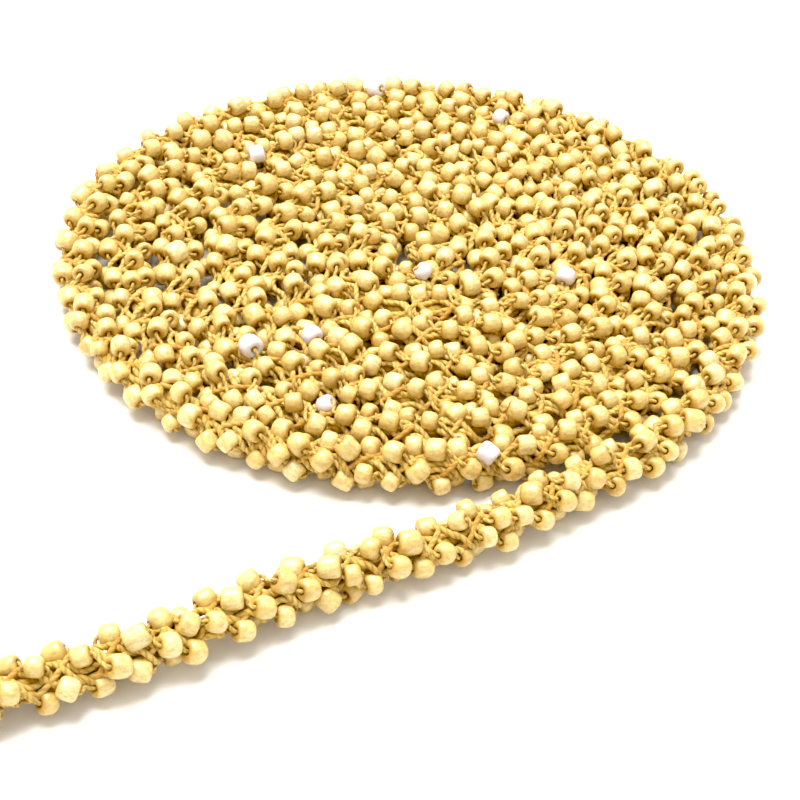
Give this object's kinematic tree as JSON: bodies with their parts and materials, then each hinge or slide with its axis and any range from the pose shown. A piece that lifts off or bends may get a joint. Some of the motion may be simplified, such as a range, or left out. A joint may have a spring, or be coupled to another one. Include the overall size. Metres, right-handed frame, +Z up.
{
  "type": "coiled beaded trim",
  "caption": "Narrow beaded cord trim for edging cloth, wound flat into a spiral coil with one loose end lying beside it.",
  "frame": {"origin": "under the middle of the coil, on the surface that it lies on", "axes": "+Z up out of the coil, +Y away from the side where the loose end leaves, +X to the right of that"},
  "size_m": [0.0877, 0.1144, 0.0057],
  "materials": {
    "seed_beads": "opaque straw-coloured glass with a pearl lustre",
    "stitched_yarn": "golden two-ply yarn with a soft sheen and a little fuzz"
  },
  "bodies": {
    "root": {"coil": "seed_beads", "loose_end": "seed_beads"}
  },
  "joints": []
}
